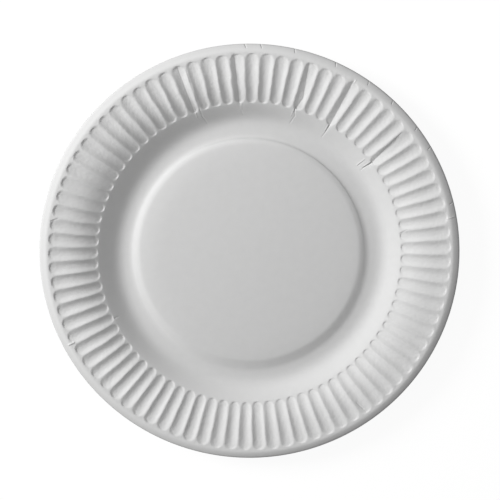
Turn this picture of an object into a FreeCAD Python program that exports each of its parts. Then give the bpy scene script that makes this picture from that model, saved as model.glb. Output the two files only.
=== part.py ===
import FreeCAD, Part
import math
import os

os.makedirs("parts", exist_ok=True)

# A pressed paperboard plate, in millimetres, +Z up, resting on its foot ring at Z = 0

# Driving dimensions: the blank
plate_radius = 115.0
board_thickness = 0.5

# Driving dimensions: how far each stretch of the section runs along the radius, from the edge inwards
lip_run = 3.8
crest_bend_run = 1.1
crest_flat_run = 0.5
brim_run = 6.6
brink_run = 22.4
wall_run = 3.0
heel_run = 8.0
foot_run = 1.6
toe_run = 3.2
step_run = 2.0
shoulder_run = 3.2

# Driving dimensions: how steep the stretches end, in degrees
step_slope = 21.0
wall_slope = 37.0
brim_slope = 3.0
crest_slope = 18.0
lip_slope = 50.0

# Driving dimensions: the flutes pressed into the rim, the first run being the smooth wall below them
flute_count = 84
flute_start_run = 5.6
ridge_rise = 0.75
valley_drop = 0.45
flute_end_run = 1.1
web_run = 3.2
valley_share = 0.3
mouth_share = 0.62
flute_spans = 3

# Widest turn of the section from one ring to the next, in degrees
turn_per_ring = 25.0

AXIS = FreeCAD.Vector(0, 0, 1)
CENTRE = FreeCAD.Vector(0, 0, 0)

# Each stretch of the section is a run along the radius and the slope that it ends on
toe = (toe_run, 0.0)
step = (step_run, -math.radians(step_slope))
shoulder = (shoulder_run, -math.radians(step_slope))
foot = (foot_run, 0.0)
heel = (heel_run, math.radians(wall_slope))
wall = (wall_run, math.radians(wall_slope))
brink = (brink_run, math.radians(brim_slope))
brim = (brim_run, math.radians(brim_slope))
crest_bend = (crest_bend_run, -math.radians(crest_slope))
lip = (lip_run, -math.radians(lip_slope))

# Where the flutes lie along the radius, and half of their pitch as an angle
half_pitch = math.pi / flute_count
flute_outer = plate_radius - lip_run - crest_bend_run - crest_flat_run
flute_inner = flute_outer - brim_run - brink_run - wall_run + flute_start_run
flute_length = flute_outer - flute_inner
flute_middle = (flute_inner + flute_outer) / 2
disc_radius = flute_inner - flute_start_run - heel_run - foot_run - toe_run - step_run - shoulder_run
disc_rise = step_run * math.tan(math.radians(step_slope))
disc_rise += (toe_run + shoulder_run) * math.tan(math.radians(step_slope) / 2)


def along(stretch, start, distance):
    """Radius, height and slope at a distance into a stretch, which is an arc where the slope changes."""
    run, end_slope = stretch
    radius, height, start_slope = start
    if math.isclose(start_slope, end_slope, abs_tol=1e-6):
        return radius + distance, height + distance * math.tan(end_slope), end_slope
    bend = run / (math.sin(end_slope) - math.sin(start_slope))
    slope = math.asin(math.sin(start_slope) + distance / bend)
    return radius + distance, height + bend * (math.cos(start_slope) - math.cos(slope)), slope


def ring_places(start, stretches):
    """Places on the section where one smooth ring meets the next."""
    places = [start]
    for stretch in stretches:
        run, end_slope = stretch
        place = places[-1]
        rings = max(1, math.ceil(math.degrees(abs(end_slope - place[2])) / turn_per_ring))
        places += [along(stretch, place, run * ring / rings) for ring in range(1, rings + 1)]
    return places


def rim_place(radius):
    """Place on the section between the heel and the crest, at any radius."""
    place = inner_places[-1]
    for stretch in (wall, brink):
        if radius <= place[0] + stretch[0]:
            return along(stretch, place, radius - place[0])
        place = along(stretch, place, stretch[0])
    return along(brim, place, radius - place[0])


def ring_point(place, drop, angle=0.0):
    """Point below a place on the smooth section, square to the board, at an angle round the plate."""
    radius, height, slope = place
    reach = radius + drop * math.sin(slope)
    return FreeCAD.Vector(reach * math.cos(angle), reach * math.sin(angle), height - drop * math.cos(slope))


def flute_point(radius, depth, drop, angle):
    """Point in the fluted band, which is straight between its stations, pressed down by a depth."""
    near, far = next(pair for pair in zip(stations, stations[1:]) if radius <= pair[1][0])
    share = (radius - near[0]) / (far[0] - near[0])
    height = near[1] + share * (far[1] - near[1])
    thickness = drop * (near[2] + share * (far[2] - near[2]))
    return FreeCAD.Vector(radius * math.cos(angle), radius * math.sin(angle), height - depth - thickness)


def polygon(*corners):
    return Part.Face(Part.makePolygon(list(corners) + [corners[0]]))


def smooth_rings(places, drop):
    outline = Part.makePolygon([ring_point(place, drop) for place in places])
    return outline.revolve(CENTRE, AXIS, 360).Faces


def flute_sections(drop):
    """Cross-sections along one flute: ridge, both edges of its flat valley, ridge."""
    between = [station[0] for station in stations[1:-1]]
    ridge_radii = [flute_inner + web_run] + between + [flute_outer - web_run]
    valley_radii = [flute_inner + flute_end_run] + between + [flute_outer - flute_end_run]
    sections = []
    for ridge_radius, valley_radius in zip(ridge_radii, valley_radii):
        rise = ridge_rise * ridge_radius / flute_middle
        depth = valley_drop * valley_radius / flute_middle
        sections.append([
            flute_point(ridge_radius, -rise, drop, -half_pitch),
            flute_point(valley_radius, depth, drop, -half_pitch * valley_share),
            flute_point(valley_radius, depth, drop, half_pitch * valley_share),
            flute_point(ridge_radius, -rise, drop, half_pitch),
        ])
    return sections


def flute_end(section, mouth):
    """One end of a flute: its steep end wall, a corner on each side of it, and the web beside it."""
    left_ridge, left_valley, right_valley, right_ridge = section
    left_mouth, right_mouth, next_mouth = mouth
    return [
        polygon(left_valley, right_valley, right_mouth, left_mouth),
        polygon(left_ridge, left_valley, left_mouth),
        polygon(right_ridge, right_valley, right_mouth),
        polygon(right_ridge, right_mouth, next_mouth),
    ]


def board_side(drop):
    """One side of the board: smooth rings, the flutes, and the flat crest outside the flutes."""
    mouth_angles = [-half_pitch * mouth_share, half_pitch * mouth_share, half_pitch * (2 - mouth_share)]
    inner_mouth = [flute_point(flute_inner, 0.0, drop, angle) for angle in mouth_angles]
    outer_mouth = [flute_point(flute_outer, 0.0, drop, angle) for angle in mouth_angles]
    sections = flute_sections(drop)
    flute = flute_end(sections[0], inner_mouth) + flute_end(sections[-1], outer_mouth)
    for section, following in zip(sections, sections[1:]):
        for left in range(3):
            flute.append(polygon(section[left], section[left + 1], following[left + 1], following[left]))
    for start in range(2):
        chord = Part.makeLine(inner_mouth[start], inner_mouth[start + 1])
        angles = [mouth_angles[start], sum(mouth_angles[start:start + 2]) / 2, mouth_angles[start + 1]]
        arc = Part.Arc(*[ring_point(inner_places[-1], drop, angle) for angle in angles]).toShape()
        flute.append(Part.makeRuledSurface(chord, arc))

    faces = smooth_rings(inner_places, drop) + smooth_rings(lip_places, drop)
    crest_corners = []
    for flute_turn in range(flute_count):
        turn = 360 * flute_turn / flute_count
        faces += [face.rotated(CENTRE, AXIS, turn) for face in flute]
        turned = FreeCAD.Rotation(AXIS, turn)
        crest_corners += [turned.multVec(corner) for corner in outer_mouth[:2]]
    crest_outside = Part.makeCircle(lip_places[0][0], FreeCAD.Vector(0, 0, crest_corners[0].z))
    crest_inside = Part.makePolygon(crest_corners + [crest_corners[0]])
    faces.append(Part.Face([Part.Wire(crest_outside), crest_inside]))
    return faces


inner_places = ring_places((0.0, board_thickness + disc_rise, 0.0), [(disc_radius, 0.0), shoulder, step, toe, foot, heel])

# Stations of the fluted band: radius, height, and how far down its underside is for each millimetre of board
stations = []
for span in range(flute_spans + 1):
    radius, height, slope = rim_place(flute_inner + flute_length * span / flute_spans)
    steepness = slope if span < flute_spans else 0.0
    stations.append((radius, height, 1 / math.cos(steepness)))

crest_end = (flute_outer + crest_flat_run, stations[-1][1], 0.0)
lip_places = ring_places(crest_end, [crest_bend, lip])
edge = Part.makeLine(ring_point(lip_places[-1], 0.0), ring_point(lip_places[-1], board_thickness))

skin = Part.Compound(board_side(0.0) + board_side(board_thickness) + edge.revolve(CENTRE, AXIS, 360).Faces)
skin.sewShape()
plate = Part.Solid(skin.Shells[0])
if plate.Volume < 0:
    plate.reverse()
plate.exportStep("parts/plate.step")
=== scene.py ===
# %% [markdown]
# A pressed paperboard plate. The packed model is loaded first. It gives the plate's box, so the outer
# size below starts from the frame.

# %% Load the frame
import math

import bmesh
import bpy
from mathutils import Matrix, Vector


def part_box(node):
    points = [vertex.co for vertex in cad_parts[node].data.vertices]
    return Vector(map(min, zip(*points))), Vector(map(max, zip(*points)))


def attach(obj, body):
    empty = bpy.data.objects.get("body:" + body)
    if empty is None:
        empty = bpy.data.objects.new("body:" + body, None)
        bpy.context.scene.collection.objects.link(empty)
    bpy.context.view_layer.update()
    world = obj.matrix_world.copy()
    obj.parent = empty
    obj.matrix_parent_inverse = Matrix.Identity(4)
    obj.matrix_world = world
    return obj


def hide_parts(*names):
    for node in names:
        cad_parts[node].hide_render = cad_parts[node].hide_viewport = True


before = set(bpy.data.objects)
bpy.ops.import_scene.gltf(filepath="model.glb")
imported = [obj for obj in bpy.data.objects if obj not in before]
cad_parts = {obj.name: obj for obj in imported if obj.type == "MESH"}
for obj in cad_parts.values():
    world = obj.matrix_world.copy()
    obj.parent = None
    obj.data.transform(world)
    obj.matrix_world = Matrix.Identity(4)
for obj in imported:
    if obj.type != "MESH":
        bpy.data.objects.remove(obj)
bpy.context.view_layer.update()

MM = 0.001
low_corner, high_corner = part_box("plate")
plate_radius = high_corner[0]
print("plate radius", plate_radius / MM, "mm, height", (high_corner[2] - low_corner[2]) / MM, "mm")

# %% [markdown]
# Both the shape and the finish are worked out with node trees, and long sums are hard to read as boxes
# and wires. Two small classes let Python write them. The first is a term: one socket that adds and
# multiplies like a number.

# %% Terms
class Term:
    """One output of a node, which can stand in a sum like a number."""

    def __init__(self, tree, socket):
        self.tree = tree
        self.socket = socket

    def maths(self, operation, *others):
        inputs = dict(enumerate([self, *others]))
        return self.tree.node("ShaderNodeMath", {"operation": operation}, inputs)

    def other(self, name):
        """Another output of the same node."""
        return Term(self.tree, self.socket.node.outputs[name])

    def __add__(self, other):
        return self.maths("ADD", other)

    def __mul__(self, other):
        return self.maths("MULTIPLY", other)

    def __sub__(self, other):
        return self.maths("SUBTRACT", other)

    def __truediv__(self, other):
        return self.maths("DIVIDE", other)

    def __rsub__(self, other):
        return self.tree.node("ShaderNodeMath", {"operation": "SUBTRACT"}, {0: other, 1: self})

    def __rtruediv__(self, other):
        return self.tree.node("ShaderNodeMath", {"operation": "DIVIDE"}, {0: other, 1: self})

    def __pow__(self, power):
        return self.maths("POWER", power)

    def __neg__(self):
        return self.maths("MULTIPLY", -1.0)

    def __abs__(self):
        return self.maths("ABSOLUTE")

    __radd__ = __add__
    __rmul__ = __mul__

    def sine(self):
        return self.maths("SINE")

    def cosine(self):
        return self.maths("COSINE")

    def whole(self):
        return self.maths("FLOOR")

    def bell(self, width):
        """1 where the term is 0, falling away smoothly on both sides over the width."""
        return (-((self / width) ** 2.0)).maths("EXPONENT")

    def ramp(self, start, end, smooth=True):
        """0 up to the start, rising to 1 at the end, and 1 from there on."""
        kind = "SMOOTHSTEP" if smooth else "LINEAR"
        inputs = {"Value": self, "From Min": start, "From Max": end, "To Min": 0.0, "To Max": 1.0}
        return self.tree.node("ShaderNodeMapRange", {"interpolation_type": kind}, inputs)


print("a term has", [name for name in vars(Term) if not name.startswith("_")])

# %% [markdown]
# The second class is a tree. It adds any node from its type, its settings and its inputs, and gives back
# the node's output as a term, so a whole tree reads like a page of sums. Noise and chance come as values
# from about -1 to 1, which is easy to scale.

# %% Trees
class Tree:
    """Adds nodes to a node tree."""

    def __init__(self, tree):
        self.tree = tree

    def node(self, kind, settings=None, inputs=None, output=0):
        made = self.tree.nodes.new(kind)
        for name, value in (settings or {}).items():
            setattr(made, name, value)
        for name, value in (inputs or {}).items():
            if isinstance(value, Term):
                self.tree.links.new(value.socket, made.inputs[name])
            else:
                made.inputs[name].default_value = value
        return Term(self, made.outputs[output]) if made.outputs else made

    def vector(self, x, y, z):
        return self.node("ShaderNodeCombineXYZ", None, {0: x, 1: y, 2: z})

    def vectors(self, operation, first, second=(0.0, 0.0, 0.0), output="Vector"):
        return self.node("ShaderNodeVectorMath", {"operation": operation}, {0: first, 1: second}, output)

    def random(self, number, seed):
        """A value from -1 to 1 for each whole number."""
        value = self.node("ShaderNodeTexWhiteNoise", {"noise_dimensions": "1D"}, {"W": number + seed})
        return value * 2.0 - 1.0

    def noise(self, vector, scale, detail=2.0):
        """Soft noise from about -1 to 1. A scale of 100 has a swell about every 10 mm."""
        value = self.node("ShaderNodeTexNoise", None, {"Vector": vector, "Scale": scale, "Detail": detail})
        return value * 2.0 - 1.0


print("a tree has", [name for name in vars(Tree) if not name.startswith("_")])

# %% [markdown]
# The plate is pressed in one stroke from a flat disc of board, so its section is the same all the way
# round: a raised middle, a step down to the foot ring, a round heel, a sloping wall that flattens into
# the rim, and a lip that turns down. The section could be traced as a free curve. It is written instead
# as runs along the radius with the slope that each one ends on, because that is how a press tool is
# drawn: flats and arcs that meet without a kink.

# %% Section of the plate
# Room left inside the box, because the uneven plate isn't quite round
uneven_room = 0.5 * MM
section_radius = plate_radius - uneven_room

# Name, run along the radius in millimetres, and the slope in degrees that the run ends on
section_stretches = [
    ("middle", 48.0, -1.2),
    ("soft shoulder", 12.0, -5.0),
    ("shoulder", 2.4, -26.0),
    ("step", 2.4, -26.0),
    ("toe", 2.2, -5.5),
    ("soft toe", 4.0, 0.0),
    ("foot", 0.2, 0.0),
    ("heel", 6.0, 39.0),
    ("wall", 4.8, 39.0),
    ("knee", 1.6, 27.0),
    ("brink", 20.0, 4.0),
    ("brim", 6.4, 1.5),
    ("crest", 1.2, -17.0),
    ("lip", 2.5, -25.0),
    ("rolled edge", 1.1, -80.0),
]


def section_at(radius):
    """Height above the middle and slope of the section at a radius, in metres and radians."""
    start, height, slope = 0.0, 0.0, 0.0
    for name, run_mm, end_degrees in section_stretches:
        run = run_mm * MM
        distance = min(radius - start, run)
        turn = math.sin(math.radians(end_degrees)) - math.sin(slope)
        end_slope = math.asin(math.sin(slope) + turn * distance / run)
        height += distance * math.tan((slope + end_slope) / 2)
        if radius <= start + run:
            break
        start, slope = start + run, end_slope
    return height, end_slope


edge_height, edge_slope = section_at(section_radius)
print("section radius", section_radius / MM, "mm, edge over middle", edge_height / MM, "mm")
print("slope of the board at its edge", math.degrees(edge_slope), "degrees")

# %% [markdown]
# The board is half a millimetre thick, with a cut edge that bulges a little. A solidify modifier could
# thicken a sheet, but here the outline simply runs out over the eating side, round the edge and back
# under, so the turned shape is a closed sheet at once. Its points stand close together where the board
# bends and far apart where it is nearly flat, and the unseen underside has fewer of them.

# %% Points of the section
board_thickness = 0.5 * MM
edge_bulge = 0.1 * MM
edge_mm = section_radius / MM
# Radius that each span of rings ends at, and the spacing of its rings, both in millimetres
top_middle = [(48, 16), (60, 3), (62.4, 0.8), (65.8, 0.42), (70.4, 0.9), (82.8, 1.75)]
top_rim = [(84.6, 0.24), (86.2, 0.4), (106.6, 2.2), (108.2, 0.5), (110.2, 0.25), (edge_mm, 0.5)]
under_middle = [(48, 48), (60, 6), (70.4, 2.1), (82.8, 3.1)]
under_rim = [(86.2, 0.9), (106.6, 5.1), (110.2, 0.9), (edge_mm, 1.2)]


def ring_radii(spans):
    """Radii of the rings, from the centre out."""
    radii = [0.0]
    for end_mm, spacing_mm in spans:
        start = radii[-1]
        rings = max(1, round((end_mm * MM - start) / (spacing_mm * MM)))
        radii += [start + (end_mm * MM - start) * ring / rings for ring in range(1, rings + 1)]
    return radii


top_radii = ring_radii(top_middle + top_rim)
under_radii = ring_radii(under_middle + under_rim)
foot_level = min(section_at(radius)[0] for radius in top_radii)


def section_corner(radius, drop):
    """Point of the section at a drop below the eating side, square to the board."""
    height, slope = section_at(radius)
    level = height - foot_level + board_thickness - drop * math.cos(slope)
    return Vector((radius + drop * math.sin(slope), 0.0, level))


section = [section_corner(radius, 0.0) for radius in top_radii]
section.append(section_corner(section_radius, board_thickness / 2) - Vector((0.0, 0.0, edge_bulge)))
section += [section_corner(radius, board_thickness) for radius in reversed(under_radii)]
section[-1].x = 0.0
print("section points", len(section), "top", max(corner.z for corner in section) / MM, "mm")

# %% [markdown]
# The rim is pressed into eighty-four flutes, which stiffen it. One flute could be modelled and copied
# round, but then every one would be the same. Here a grid is turned round the plate, and the class below
# finds where each of its points starts: its row gives a place on the section, and its column gives a
# flute and a part of that flute. The columns stand closer together at the ridges, where the board turns
# most.

# %% Angles and flutes
flute_count = 84
steps_per_flute = 12
# Direction in which the middle of one flute lies, in degrees from the right
flute_direction = 93.2
first_ridge = math.radians(flute_direction) - math.pi / flute_count
# How much closer the columns stand at the ridges, where 0 would be evenly spaced
ridge_crowding = 0.55


class Board:
    """The points of the sheet while they are being worked out: where each is before it is pressed."""

    def __init__(self, tree, inputs):
        self.tree = tree
        index = tree.node("GeometryNodeInputIndex")
        rows = inputs["Rows"]
        row = index.maths("MODULO", rows)
        column = (index / rows).whole().maths("MODULO", inputs["Flutes"] * inputs["Steps"])
        position = tree.node("GeometryNodeInputPosition")
        corner = tree.node("GeometryNodeSampleIndex", {"data_type": "FLOAT_VECTOR"},
                           {"Geometry": inputs["Section"], "Value": position, "Index": row})
        parts = tree.node("ShaderNodeSeparateXYZ", None, {0: corner})
        self.radius = parts
        self.height = parts.other("Z")
        self.flute = (column / inputs["Steps"]).whole()
        step = column / inputs["Steps"] - self.flute
        self.part = step - (step * math.tau).sine() * (ridge_crowding / math.tau)
        pitch = math.tau / inputs["Flutes"]
        self.angle = (self.flute + self.part) * pitch + inputs["First ridge"]


print("flutes", flute_count, "columns", flute_count * steps_per_flute, "rows", len(section))

# %% [markdown]
# Narrow ridges grow up out of the wall and run level into the crest, and between them each flute is a
# long closed pocket with sloping sides, a rounded floor and a steep wall at each end. It is deepest near
# its inner end and shoals towards the crest. A picture of heights could press the sheet, but it would be
# coarse at the end walls. A sum of each point's radius and its part of the flute is sharp everywhere,
# and a little chance gives each flute its own width, length and depth.

# %% Pressing the flutes
# Seeds of what varies from flute to flute
floor_seed = 71.0
outer_end_seed = 11.0
inner_end_seed = 37.0
depth_seed = 53.0


def flute_height(board, inputs):
    """How far each point is pressed up at a ridge or down in a valley."""
    tree = board.tree
    across = abs(board.part * 2.0 - 1.0)
    arch = across ** 2.0
    floor_edge = inputs["Floor edge"] + tree.random(board.flute, floor_seed) * inputs["Floor chance"]
    flank = (inputs["Ridge edge"] - across) / (inputs["Ridge edge"] - floor_edge)
    valley = flank.maths("SMOOTH_MAX", 0.0, inputs["Ridge softness"])
    valley = valley.maths("SMOOTH_MIN", 1.0, inputs["Floor softness"])
    outer = inputs["Outer end"] + tree.random(board.flute, outer_end_seed) * inputs["End chance"]
    inner = inputs["Inner end"] + tree.random(board.flute, inner_end_seed) * inputs["End chance"]
    to_outer = outer - arch * inputs["Outer arch"] - board.radius
    to_inner = board.radius - inner - arch * inputs["Inner arch"]
    ridge_start = (board.radius - inner).ramp(0.0, inputs["Ridge start"])
    valley_start = to_inner.ramp(0.0, inputs["Inner wall"])
    last_run = board.radius.ramp(inputs["Outer end"] - inputs["Shoal run"], inputs["Outer end"], False)
    valley_end = to_outer.ramp(0.0, inputs["Outer wall"]) * (1.0 - last_run * inputs["Shoaling"])
    depth_chance = tree.random(board.flute, depth_seed) * inputs["Depth chance"] + 1.0
    spread = board.radius / inputs["Flute middle"] * depth_chance
    past_deepest = (board.radius - inner).ramp(inputs["Deepest until"], inputs["Even from"])
    rise = ridge_start * inputs["Ridge rise"]
    drop = valley_start * inputs["Valley drop"] * (1.0 - past_deepest * inputs["Depth lost"])
    return rise - valley * valley_end * (rise + drop) * spread


print("seeds of the flutes", floor_seed, outer_end_seed, inner_end_seed, depth_seed)

# %% [markdown]
# A plate from a stack is never perfectly true. It has gone a little oval, the middle tilts and bows by a
# fraction of a millimetre, and the rim waves. The step round the middle is pinched together on one side,
# where it is a sharp crease, and stretched out on the other, and the ridges waver where the sheet was
# gathered most. The finished mesh could be bent with modifiers, but these are slow changes over the
# sheet, so they are sums of the angle and of soft noise, added to the radius, angle and height before
# the points are placed.

# %% Unevenness
# Directions from the middle of the plate, in degrees from the right
oval_direction = 15.0
crease_direction = 55.0
squeeze_direction = 90.0
gathered_direction = 112.0
off_centre_direction = 120.0
tilt_direction = 165.0
# Cosines of the angle from the gathered direction, where the ridges start to waver more, and most
gathered_start, gathered_full = 0.85, 0.98
# Scales of the noises
wander_scale = 22.0
waver_scale = 130.0
bow_scale = 9.0
wave_scale = 14.0
# Shifts in metres for two of the noises, so that they don't swell in the same places as the others
wander_aside = (0.31, 0.0, 0.0)
wave_aside = (0.0, 0.47, 0.0)


def towards(board, direction):
    """1 for the points in a direction from the middle, and -1 for those on the far side."""
    return (board.angle - math.radians(direction)).cosine()


def uneven_shape(board, inputs):
    """The radius, angle and height of each point once the sheet has gone out of true."""
    tree = board.tree
    reach = board.radius / plate_radius
    place = tree.vector(board.radius * board.angle.cosine(), board.radius * board.angle.sine(), 0.0)
    wander_place = tree.vectors("ADD", place, wander_aside)
    wave_place = tree.vectors("ADD", place, wave_aside)

    oval = ((board.angle - math.radians(oval_direction)) * 2.0).cosine() * inputs["Oval"] * reach ** 2.0
    from_step = board.radius - inputs["Step middle"]
    squeeze = towards(board, squeeze_direction) * inputs["Step squeeze"]
    squeeze = squeeze * from_step.bell(inputs["Squeeze width"])
    crease = (towards(board, crease_direction) * 0.5 + 0.5) ** 3.0 * inputs["Step crease"]
    crease = crease * from_step.bell(inputs["Crease width"])
    radius = board.radius + oval - from_step * (squeeze + crease)

    wander = tree.noise(wander_place, wander_scale) * inputs["Wander"] * reach ** 3.0
    gathered = towards(board, gathered_direction).ramp(gathered_start, gathered_full)
    waver = tree.noise(place, waver_scale) * (gathered * inputs["Gathered waver"] + inputs["Waver"])
    off_centre = towards(board, off_centre_direction) * inputs["Off centre"] - inputs["Turned back"]
    angle = board.angle + (wander + waver) + off_centre

    middle = 1.0 - board.radius.ramp(inputs["Middle edge"], inputs["Foot"])
    rim = board.radius.ramp(inputs["Wave start"], inputs["Wave full"])
    tilt = towards(board, tilt_direction) * reach * inputs["Tilt"] * middle
    bow = tree.noise(place, bow_scale, detail=1.0) * inputs["Bow"] * middle
    wave = tree.noise(wave_place, wave_scale, detail=1.0) * inputs["Wave"] * rim
    return radius, angle, board.height + tilt + bow + wave


print("gathered most at", gathered_direction, "degrees, creased most at", crease_direction, "degrees")

# %% [markdown]
# Where the sheet was gathered too tightly, or was handled, a flute has collapsed into a sharp fold. A
# fold runs from one point of the rim to another, and the board beside it is pushed down over a small
# width. Points moved by hand would be lost with every change of the grid, so each fold is one row of a
# short list, in degrees and millimetres, and one function turns a row into a height.

# %% Folds in the rim
# Name, start (degrees, mm), end (degrees, mm), width in mm, and push in mm, downwards where it is negative
folds = [
    ("crushed flute", (93.4, 83.0), (94.0, 109.0), 1.2, -0.45),
    ("crushed flute behind the double fold", (110.5, 83.0), (110.3, 108.5), 1.1, -0.45),
    ("narrow flute", (58.4, 82.5), (59.5, 109.8), 1.0, -0.45),
    ("slanted fold", (37.2, 82.0), (39.4, 105.5), 1.0, -0.5),
    ("kinked fold, lower part", (72.6, 83.5), (71.2, 90.5), 0.9, -0.4),
    ("kinked fold, upper part", (71.2, 90.5), (72.8, 108.5), 0.9, -0.4),
]
# Shares of a fold's length: how far past its ends it fades out, and how far inside them it is fully deep
fold_past_end = 0.08
fold_inside_end = 0.04


def fold_height(board, angle, fold):
    """Height that one fold adds: a soft furrow along a line between two places."""
    name, (start_angle, start_radius), (end_angle, end_radius), width, push = fold
    along = (board.radius - start_radius * MM) / ((end_radius - start_radius) * MM)
    line = math.radians(start_angle) + along * math.radians(end_angle - start_angle)
    aside = (angle - line).maths("WRAP", math.pi, -math.pi) * board.radius
    begun = along.ramp(-fold_past_end, fold_inside_end)
    ended = along.ramp(1.0 - fold_inside_end, 1.0 + fold_past_end)
    return aside.bell(width * MM) * (begun * (1.0 - ended)) * (push * MM)


print("folds", [fold[0] for fold in folds])

# %% [markdown]
# The sheet has many sizes, such as how far the ridges rise and where the flutes end. They could be typed
# into the nodes, where they would be hard to find again. As named inputs of the tree they can be read,
# and changed, in one place.

# %% Inputs of the lathe tree
# Whole numbers of the grid
counts = {"Rows": len(section), "Flutes": flute_count, "Steps": steps_per_flute}
# Lengths in millimetres: first the flutes, then the unevenness
lengths_mm = {
    "Ridge rise": 0.64,
    "Valley drop": 0.76,
    "Flute middle": 96.4,
    "Inner end": 83.2,
    "Outer end": 109.55,
    "End chance": 0.2,
    "Inner arch": 2.8,
    "Outer arch": 3.2,
    "Inner wall": 0.8,
    "Outer wall": 0.5,
    "Ridge start": 9.0,
    "Deepest until": 2.0,
    "Even from": 12.0,
    "Shoal run": 6.0,
    "Oval": 0.18,
    "Tilt": 0.6,
    "Bow": 0.25,
    "Wave": 0.1,
    "Middle edge": 50.0,
    "Foot": 68.0,
    "Wave start": 70.0,
    "Wave full": 110.0,
    "Step middle": 63.9,
    "Squeeze width": 3.6,
    "Crease width": 0.9,
}
# Shares: of the depth, of half a flute's width, or of the distance from the step
shares = {
    "Depth lost": 0.42,
    "Depth chance": 0.06,
    "Shoaling": 0.6,
    "Ridge edge": 0.92,
    "Ridge softness": 0.1,
    "Floor edge": 0.32,
    "Floor chance": 0.08,
    "Floor softness": 0.5,
    "Step squeeze": 0.3,
    "Step crease": 0.65,
}
# Angles in radians
angles = {
    "First ridge": first_ridge,
    "Wander": 0.002,
    "Waver": 0.004,
    "Gathered waver": 0.006,
    "Off centre": 0.0034,
    "Turned back": 0.001,
}
lengths = {name: length * MM for name, length in lengths_mm.items()}
lathe_inputs = {**counts, **lengths, **shares, **angles}
print("inputs of the lathe tree", len(lathe_inputs))

# %% [markdown]
# Now the tree is put together. A screw modifier could turn the section, but it couldn't press the
# flutes. Here the rows of a grid follow the section, and its columns go round the plate, so both sides
# of the board are pressed alike. The seam, where the first and last columns meet, and the two poles are
# merged at the end.

# %% Lathe tree
merge_distance = 0.01 * MM


def lathe_tree(material):
    group = bpy.data.node_groups.new("pressed plate", "GeometryNodeTree")
    group.interface.new_socket("Section", in_out="INPUT", socket_type="NodeSocketGeometry")
    for name in lathe_inputs:
        kind = "NodeSocketInt" if name in counts else "NodeSocketFloat"
        group.interface.new_socket(name, in_out="INPUT", socket_type=kind)
    group.interface.new_socket("Plate", in_out="OUTPUT", socket_type="NodeSocketGeometry")
    tree = Tree(group)
    first = tree.node("NodeGroupInput")
    inputs = {name: first.other(name) for name in ["Section", *lathe_inputs]}

    columns = inputs["Flutes"] * inputs["Steps"] + 1.0
    grid = tree.node("GeometryNodeMeshGrid", None, {"Vertices X": columns, "Vertices Y": inputs["Rows"]})
    board = Board(tree, inputs)
    radius, angle, height = uneven_shape(board, inputs)
    height = height + flute_height(board, inputs)
    for fold in folds:
        height = height + fold_height(board, angle, fold)
    height = height.maths("MAXIMUM", 0.0)
    place = tree.vector(radius * angle.cosine(), radius * angle.sine(), height)
    placed = tree.node("GeometryNodeSetPosition", None, {"Geometry": grid, "Position": place})
    merged = tree.node("GeometryNodeMergeByDistance", None, {"Geometry": placed, "Distance": merge_distance})
    smooth = tree.node("GeometryNodeSetShadeSmooth", None, {"Geometry": merged})
    real = tree.node("GeometryNodeRealizeInstances", None, {"Geometry": smooth})
    finished = tree.node("GeometryNodeSetMaterial", None, {"Geometry": real, "Material": material})
    tree.node("NodeGroupOutput", None, {"Plate": finished})
    print("nodes in the lathe tree", len(group.nodes))
    return group


# %% [markdown]
# The tree runs as a modifier on a small object that holds only the section. The modifier could stay, but
# the frame takes finished meshes, so the result is copied out as a plain mesh and the helper object
# goes. The faces are turned outwards, and a closed sheet shows in the numbers: no open edge, and a
# volume of board above zero.

# %% Turning the section into a plate
def section_object():
    """The section as a line of points, for the lathe tree to read."""
    outline = bpy.data.meshes.new("section")
    edges = [(corner, corner + 1) for corner in range(len(section) - 1)]
    outline.from_pydata(section, edges, [])
    lathe = bpy.data.objects.new("section", outline)
    bpy.context.scene.collection.objects.link(lathe)
    return lathe


def turned_mesh(material):
    """The plate as a plain mesh, made by running the lathe tree on the section."""
    lathe = section_object()
    modifier = lathe.modifiers.new("pressed plate", "NODES")
    modifier.node_group = lathe_tree(material)
    identifiers = {item.name: item.identifier for item in modifier.node_group.interface.items_tree}
    for name, value in lathe_inputs.items():
        modifier[identifiers[name]] = value
    lathe.update_tag()
    seen = lathe.evaluated_get(bpy.context.evaluated_depsgraph_get())
    mesh = bpy.data.meshes.new_from_object(seen)
    lathe.modifiers.remove(modifier)
    bpy.data.objects.remove(lathe)
    return mesh


def turned_plate(material):
    mesh = turned_mesh(material)
    shaped = bmesh.new()
    shaped.from_mesh(mesh)
    bmesh.ops.recalc_face_normals(shaped, faces=shaped.faces)
    open_edges = [edge for edge in shaped.edges if not edge.is_manifold]
    volume = shaped.calc_volume(signed=True)
    shaped.to_mesh(mesh)
    shaped.free()
    triangles = sum(len(face.vertices) - 2 for face in mesh.polygons)
    print("triangles", triangles, "open edges", len(open_edges), "board volume, cubic mm", volume / MM ** 3)
    plate = bpy.data.objects.new("paper_plate", mesh)
    bpy.context.scene.collection.objects.link(plate)
    return plate


# %% [markdown]
# The folds end in fine creases, like a crow's foot, and the lip has small nicks where it was gathered.
# They are far narrower than the mesh's squares. Cut into the mesh, they would need a great many more
# points, so they belong in the relief of the finish: each is a short straight line that the bump raises
# or lowers, again one row of a list.

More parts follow.
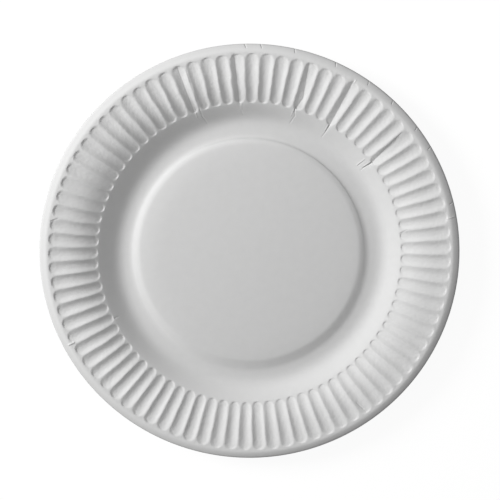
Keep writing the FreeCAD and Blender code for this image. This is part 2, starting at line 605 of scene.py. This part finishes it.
# %% Creases and nicks
# Start (degrees, mm), end (degrees, mm), width in mm, and height in mm, negative for a furrow
creases = [
    ((37.2, 76.8), (37.5, 79.5), 0.3, -0.12),
    ((37.5, 78.6), (37.3, 84.0), 0.35, -0.2),
    ((38.0, 79.8), (38.0, 84.0), 0.35, 0.16),
    ((39.9, 77.0), (40.1, 81.9), 0.35, 0.16),
    ((39.5, 77.4), (39.5, 80.6), 0.3, -0.08),
    ((59.1, 108.2), (59.1, 110.8), 0.4, 0.14),
    ((58.5, 84.0), (58.3, 79.9), 0.35, -0.16),
    ((58.3, 79.9), (58.4, 76.3), 0.3, -0.12),
    ((59.0, 83.2), (58.9, 80.4), 0.35, 0.12),
    ((72.6, 84.9), (72.5, 82.3), 0.35, -0.18),
    ((72.5, 82.3), (71.9, 80.0), 0.35, -0.14),
    ((71.9, 80.0), (72.8, 75.8), 0.3, -0.12),
    ((73.1, 83.6), (73.3, 79.8), 0.3, 0.1),
    ((92.6, 84.7), (92.9, 79.8), 0.35, 0.1),
    ((93.0, 79.8), (92.4, 76.8), 0.3, -0.07),
    ((108.3, 79.8), (108.2, 105.5), 0.4, -0.14),
    ((108.4, 80.2), (107.4, 75.6), 0.35, -0.12),
    ((110.4, 80.7), (110.1, 86.0), 0.4, 0.14),
    ((8.3, 83.4), (9.4, 87.0), 0.4, -0.14),
    ((9.5, 87.0), (9.6, 101.7), 0.4, -0.1),
    ((168.5, 106.0), (169.5, 109.2), 0.4, -0.2),
    ((205.4, 81.2), (205.3, 82.7), 0.5, -0.2),
    ((206.2, 107.9), (206.2, 111.0), 0.5, 0.3),
    ((306.1, 101.8), (306.8, 108.6), 0.4, -0.16),
    ((11.1, 109.7), (11.3, 113.4), 0.35, 0.14),
]
# Nicks in the lip: where each starts and how far it leans are in degrees, and the rest is in millimetres
nick_angles = [14.9, 31.2, 37.6, 47.3, 55.6, 65.7, 77.3, 86.4, 90.7]
nick_lean = 0.3
nick_start, nick_end = 112.4, 113.9
nick_width, nick_height = 0.3, -0.22
for nick_angle in nick_angles:
    nick = ((nick_angle, nick_start), (nick_angle + nick_lean, nick_end), nick_width, nick_height)
    creases.append(nick)
# The sharp bottom of each fold, in millimetres
fold_line_width, fold_line_height = 0.4, -0.12
creases += [(start, end, fold_line_width, fold_line_height) for name, start, end, width, push in folds]


def spot(angle, radius):
    """Place on the flat sheet from an angle in degrees and a radius in millimetres."""
    turn = math.radians(angle)
    return Vector((radius * math.cos(turn), radius * math.sin(turn), 0.0)) * MM


def crease_height(tree, place, crease):
    """Relief of one crease, from the distance to its line."""
    start, end, width, height = crease
    line = spot(*end) - spot(*start)
    away = tree.vectors("SUBTRACT", place, spot(*start))
    along = tree.vectors("DOT_PRODUCT", away, line, "Value") / line.length_squared
    along = along.maths("MAXIMUM", 0.0).maths("MINIMUM", 1.0)
    nearest = tree.vectors("MULTIPLY", line, tree.vector(along, along, along))
    distance = tree.vectors("DISTANCE", away, nearest, "Value")
    return distance.bell(width * MM) * (height * MM)


print("creases in the relief", len(creases))

# %% [markdown]
# The board is uncoated white paper: pale rather than pure white, and close up a little cloudy. A
# photograph of paper could be laid over the plate, but it would stretch in the flutes. The shade comes
# from soft noise on the object's own coordinates instead, so nothing slides and nothing repeats. Light and
# shade are painted on as well. The fluted rim and its crest are painted paler, as painted light where they
# catch more of the fill than the hollows. The lip is painted darker towards the cut edge, as painted shade,
# and a faint line of painted shade runs along the crease of the step on the plate's far side.

# %% Shade of the paper, with painted light and shade
paper_shade = 0.782
cloud_shade = 0.02
fibre_shade = 0.01
# Name, the radii in millimetres between which the shade changes, and how much it has changed from there on:
# painted light on the flutes and crest, where they catch more of the fill, and painted shade on the lip
painted_light_and_shade = [
    ("inner ends of the flutes", 84.0, 90.0, 0.015),
    ("flutes", 88.0, 107.0, 0.025),
    ("crest", 108.5, 110.5, 0.035),
    ("lip", 110.5, 114.0, -0.075),
]
# The line of painted shade in the crease along the step: its direction in degrees, its radius and width in
# millimetres, and how much it darkens
shaded_crease_direction = 85.0
shaded_crease_radius, shaded_crease_width = 64.1, 0.65
painted_crease_shade = 0.09
# Cosines of the angle from that direction, where the line starts and where it is full
shaded_crease_start, shaded_crease_full = 0.7, 0.95


def shade_with_painted_light(tree, flat_place, reach, cloud, fibre):
    """Brightness of the board: its clouds and fibres, painted light on the rim, and painted shade on the lip
    and along the step.
    """
    shade = cloud * cloud_shade + fibre * fibre_shade + paper_shade
    # Painted light on the flutes and crest and painted shade on the lip, ring by ring out from the middle
    for name, start, end, change in painted_light_and_shade:
        shade = shade + reach.ramp(start * MM, end * MM) * change
    one_metre = spot(shaded_crease_direction, 1.0 / MM)
    facing = tree.vectors("DOT_PRODUCT", flat_place, one_metre, "Value") / reach
    # Painted shade in the crease of the step, on the plate's far side only
    crease_shade = (reach - shaded_crease_radius * MM).bell(shaded_crease_width * MM) * facing.ramp(shaded_crease_start, shaded_crease_full)
    return shade - crease_shade * painted_crease_shade


print("shade of the middle", paper_shade)
for name, start, end, change in painted_light_and_shade:
    print(name, "from", start, "to", end, "mm: change of shade", change)

# %% [markdown]
# Close up the board is a little rough from its fibres, and the press has left fine wrinkles between the
# ends of the flutes. Real bumps of a few hundredths of a millimetre would need millions of points, and
# only the way they catch the light is seen, so they are one relief for the Bump node, in metres like the
# plate itself.

# %% Relief of the paper
# Heights in millimetres
cloud_relief = 0.03
fibre_relief = 0.012
wrinkle_relief = 0.1
# Radii in millimetres between which the wrinkles come in, and between which they go again
wrinkle_start, wrinkle_full = 82.0, 86.0
wrinkle_last, wrinkle_end = 109.0, 111.0


def relief_of_paper(tree, flat_place, reach, cloud, fibre, wrinkle):
    """Height of the fine relief: clouds, fibres, the wrinkles of the pressed rim, and the creases."""
    come_in = reach.ramp(wrinkle_start * MM, wrinkle_full * MM)
    gone = reach.ramp(wrinkle_last * MM, wrinkle_end * MM)
    wrinkle = wrinkle * (come_in * (1.0 - gone))
    relief = cloud * (cloud_relief * MM) + fibre * (fibre_relief * MM) + wrinkle * (wrinkle_relief * MM)
    for crease in creases:
        relief = relief + crease_height(tree, flat_place, crease)
    return relief


print("relief, mm: clouds", cloud_relief, "fibres", fibre_relief, "wrinkles", wrinkle_relief)

# %% [markdown]
# The material puts the two together. Paper could be made with a plain diffuse shader, but a quite rough
# Principled one with a low gloss keeps the faint sheen that pressed board has at a flat angle. The blue
# is held a trace lower than the red and green, which takes the coldness out of the white.

# %% The paper and the plate
paper_blue = 0.997
paper_roughness = 0.88
paper_gloss = 0.25
# Scale and detail of each noise
cloud_noise = (220.0, 3.0)
fibre_noise = (1400.0, 4.0)
wrinkle_noise = (620.0, 3.0)


def paper_material():
    material = bpy.data.materials.new("white paperboard")
    material.use_nodes = True
    tree = Tree(material.node_tree)
    shader = material.node_tree.nodes["Principled BSDF"]
    place = tree.node("ShaderNodeTexCoord", output="Object")
    flat_place = tree.vectors("MULTIPLY", place, (1.0, 1.0, 0.0))
    reach = tree.vectors("LENGTH", flat_place, output="Value")
    cloud = tree.noise(place, *cloud_noise)
    fibre = tree.noise(place, *fibre_noise)
    wrinkle = tree.noise(place, *wrinkle_noise)
    shade = shade_with_painted_light(tree, flat_place, reach, cloud, fibre)
    colour = tree.node("ShaderNodeCombineColor", None, {0: shade, 1: shade, 2: shade * paper_blue})
    relief = relief_of_paper(tree, flat_place, reach, cloud, fibre, wrinkle)
    bump = tree.node("ShaderNodeBump", None, {"Strength": 1.0, "Distance": 1.0, "Height": relief})
    material.node_tree.links.new(colour.socket, shader.inputs["Base Color"])
    material.node_tree.links.new(bump.socket, shader.inputs["Normal"])
    shader.inputs["Roughness"].default_value = paper_roughness
    shader.inputs["Specular IOR Level"].default_value = paper_gloss
    print("nodes in the paper", len(material.node_tree.nodes))
    return material


plate = turned_plate(paper_material())
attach(plate, "root")
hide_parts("plate")

# %% [markdown]
# The plate lies on a floor that is white to the eye, as in a cut-out picture, but must not be lit by
# that white. More lamps would burn out the plate before the floor turned white. Light Path tells the two
# apart: to the camera, also through a mirror or glass, the floor glows white, and to every other ray it
# is plain dark grey. The white adds a part of the floor's own shading, so it keeps the plate's shadow.

# %% Floor
floor_half_width = 6.0
floor_grey_to_light = 0.1
floor_grey_to_the_eye = 0.12
floor_glow = 0.93


def grey(value):
    return (value, value, value, 1.0)


def white_to_the_eye(tree):
    """1 for camera, glossy and transmission rays, which should see the white background."""
    path = tree.node("ShaderNodeLightPath")
    seen = path + path.other("Is Glossy Ray") + path.other("Is Transmission Ray")
    return seen.maths("MINIMUM", 1.0)


def white_floor():
    mesh = bpy.data.meshes.new("floor")
    half = floor_half_width
    corners = [(-half, -half, 0), (half, -half, 0), (half, half, 0), (-half, half, 0)]
    mesh.from_pydata(corners, [], [(0, 1, 2, 3)])
    floor = bpy.data.objects.new("floor", mesh)
    bpy.context.scene.collection.objects.link(floor)
    material = bpy.data.materials.new("white floor")
    material.use_nodes = True
    tree = Tree(material.node_tree)
    material.node_tree.nodes.remove(material.node_tree.nodes["Principled BSDF"])
    plain = tree.node("ShaderNodeBsdfDiffuse", None, {"Color": grey(floor_grey_to_light)})
    soft = tree.node("ShaderNodeBsdfDiffuse", None, {"Color": grey(floor_grey_to_the_eye)})
    glow = tree.node("ShaderNodeEmission", None, {"Color": grey(1.0), "Strength": floor_glow})
    shown = tree.node("ShaderNodeAddShader", None, {0: soft, 1: glow})
    mixed = tree.node("ShaderNodeMixShader", None, {0: white_to_the_eye(tree), 1: plain, 2: shown})
    output = material.node_tree.nodes["Material Output"]
    material.node_tree.links.new(mixed.socket, output.inputs["Surface"])
    mesh.materials.append(material)


white_floor()
print("floor", 2 * floor_half_width, "m wide, glow", floor_glow)

# %% [markdown]
# The world is white to the eye in the same way, and gives every other ray a weak, even fill. A bright
# world would fill the flutes from all sides and wash them out, while with a weak one the shaded sides
# stay grey.

# %% World
fill_strength = 0.235


def white_world():
    world = bpy.data.worlds.new("white world")
    world.use_nodes = True
    bpy.context.scene.world = world
    tree = Tree(world.node_tree)
    background = world.node_tree.nodes["Background"]
    strength = white_to_the_eye(tree) * (1.0 - fill_strength) + fill_strength
    background.inputs["Color"].default_value = grey(1.0)
    world.node_tree.links.new(strength.socket, background.inputs["Strength"])


white_world()
print("fill", fill_strength)

# %% [markdown]
# One soft lamp stands low on the left, which is what draws the flutes: sides that face it are bright,
# and sides that face away keep only the fill. White paper under light from above would look flat, while
# a low lamp shows its relief. A second lamp, small and very weak, hangs close over the top of the plate,
# which is a little brighter there.

# %% Lamps
def soft_lamp(name, azimuth, elevation, distance, size, power):
    """A round lamp aimed at the middle of the plate, from angles in degrees and a distance in metres."""
    light = bpy.data.lights.new(name, "AREA")
    light.shape = "DISK"
    light.size = size
    light.energy = power
    lamp = bpy.data.objects.new(name, light)
    turn, lift = math.radians(azimuth), math.radians(elevation)
    level = math.cos(lift)
    direction = Vector((level * math.cos(turn), level * math.sin(turn), math.sin(lift)))
    lamp.location = direction * distance
    lamp.rotation_euler = direction.to_track_quat("Z", "Y").to_euler()
    bpy.context.scene.collection.objects.link(lamp)
    print(name, "at", tuple(round(value, 3) for value in lamp.location), "m, power", power, "W")


soft_lamp("low key", azimuth=156.5, elevation=29.0, distance=1.3, size=0.5, power=14.8)
soft_lamp("weak top light", azimuth=75.0, elevation=59.0, distance=0.29, size=0.15, power=0.055)

# %% [markdown]
# The camera looks almost straight down, leaning a little, and stands about 57 cm away. It could be
# turned by hand, but that would have to be done again after every change. Its picture's up and right are
# worked out from the direction it looks along, and it is moved sideways, not shifted, to frame the plate
# as in the photograph.

# %% Camera
lean_right = math.radians(0.67)
lean_up = math.radians(8.45)
camera_distance = 0.573
framing_right = 0.39 * MM
framing_up = 1.98 * MM
picture_width = 0.279
nearest_seen = 0.01

backwards = Vector((math.tan(lean_right), math.tan(lean_up), 1.0)).normalized()
picture_right = (Vector((1.0, 0.0, 0.0)) - backwards * backwards.x).normalized()
picture_up = backwards.cross(picture_right)
lens = bpy.data.cameras.new("camera")
lens.lens = lens.sensor_width * camera_distance / picture_width
lens.clip_start = nearest_seen
camera = bpy.data.objects.new("camera", lens)
turn = Matrix((picture_right, picture_up, backwards)).transposed()
eye = backwards * camera_distance + picture_right * framing_right + picture_up * framing_up
camera.matrix_world = Matrix.Translation(eye) @ turn.to_4x4()
bpy.context.scene.collection.objects.link(camera)
bpy.context.scene.camera = camera
bpy.context.scene.view_settings.view_transform = "Standard"
print("lens", lens.lens, "mm, camera at", tuple(round(value, 4) for value in eye))

# %% [markdown]
